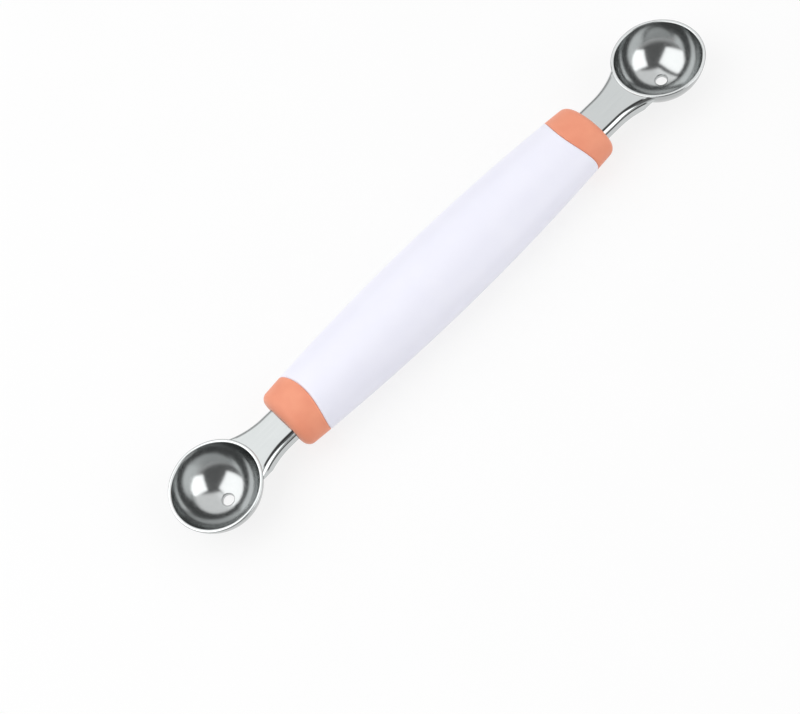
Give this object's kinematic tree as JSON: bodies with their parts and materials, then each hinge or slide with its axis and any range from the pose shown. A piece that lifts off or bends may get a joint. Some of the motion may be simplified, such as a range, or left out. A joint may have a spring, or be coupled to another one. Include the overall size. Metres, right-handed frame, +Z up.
{
  "type": "melon baller",
  "caption": "Double-ended melon baller: round steel bowls with drain holes on flared channel necks, set in an oval barrel handle with soft end collars.",
  "frame": {"origin": "on the table under the middle of the tool, which rests on the undersides of both bowls", "axes": "+X along the tool towards the right scoop, +Y across the handle's width, +Z up, the way both bowls open"},
  "size_m": [0.186, 0.025, 0.017],
  "materials": {
    "polished_steel": "pressed stainless steel, polished",
    "white_abs": "moulded ABS, glossy",
    "coral_tpe": "moulded thermoplastic elastomer, fine satin",
    "core_nylon": "moulded nylon, as it comes from the tool",
    "pin_steel": "drawn steel rod, cut to length"
  },
  "bodies": {
    "root": {"right_scoop": "polished_steel", "left_scoop": "polished_steel", "handle_sleeve": "white_abs", "right_collar": "coral_tpe", "left_collar": "coral_tpe", "core_upper": "core_nylon", "core_lower": "core_nylon", "right_tang_pin": "pin_steel", "left_tang_pin": "pin_steel"}
  },
  "joints": []
}
